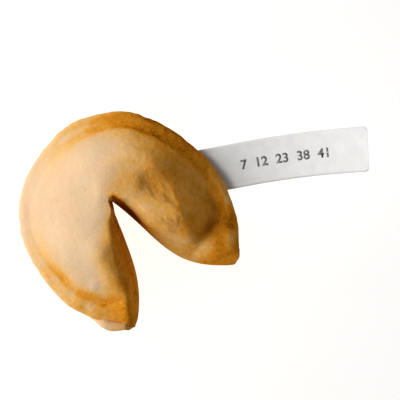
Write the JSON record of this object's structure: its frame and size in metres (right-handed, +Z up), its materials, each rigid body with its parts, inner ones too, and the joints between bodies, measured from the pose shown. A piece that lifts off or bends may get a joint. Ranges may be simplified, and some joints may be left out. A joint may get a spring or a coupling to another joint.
{
  "type": "fortune cookie",
  "caption": "Fortune cookie: a hollow folded wafer bent into a crescent round a notch, with a browned flat rim and a printed paper slip standing out of it.",
  "frame": {"origin": "middle of the underside of the box round the cookie and its slip, on the surface it lies on", "axes": "+X along the slip, from the cookie to the slip's free end; +Z up, out of the shown face; +Y across the slip"},
  "size_m": [0.0972, 0.0616, 0.03],
  "materials": {
    "wafer": "crisp baked wafer, satin, pale on the dome and browned along the rim",
    "paper": "plain white uncoated paper, matt"
  },
  "bodies": {
    "root": {"cookie": "wafer", "slip": "paper"}
  },
  "joints": []
}
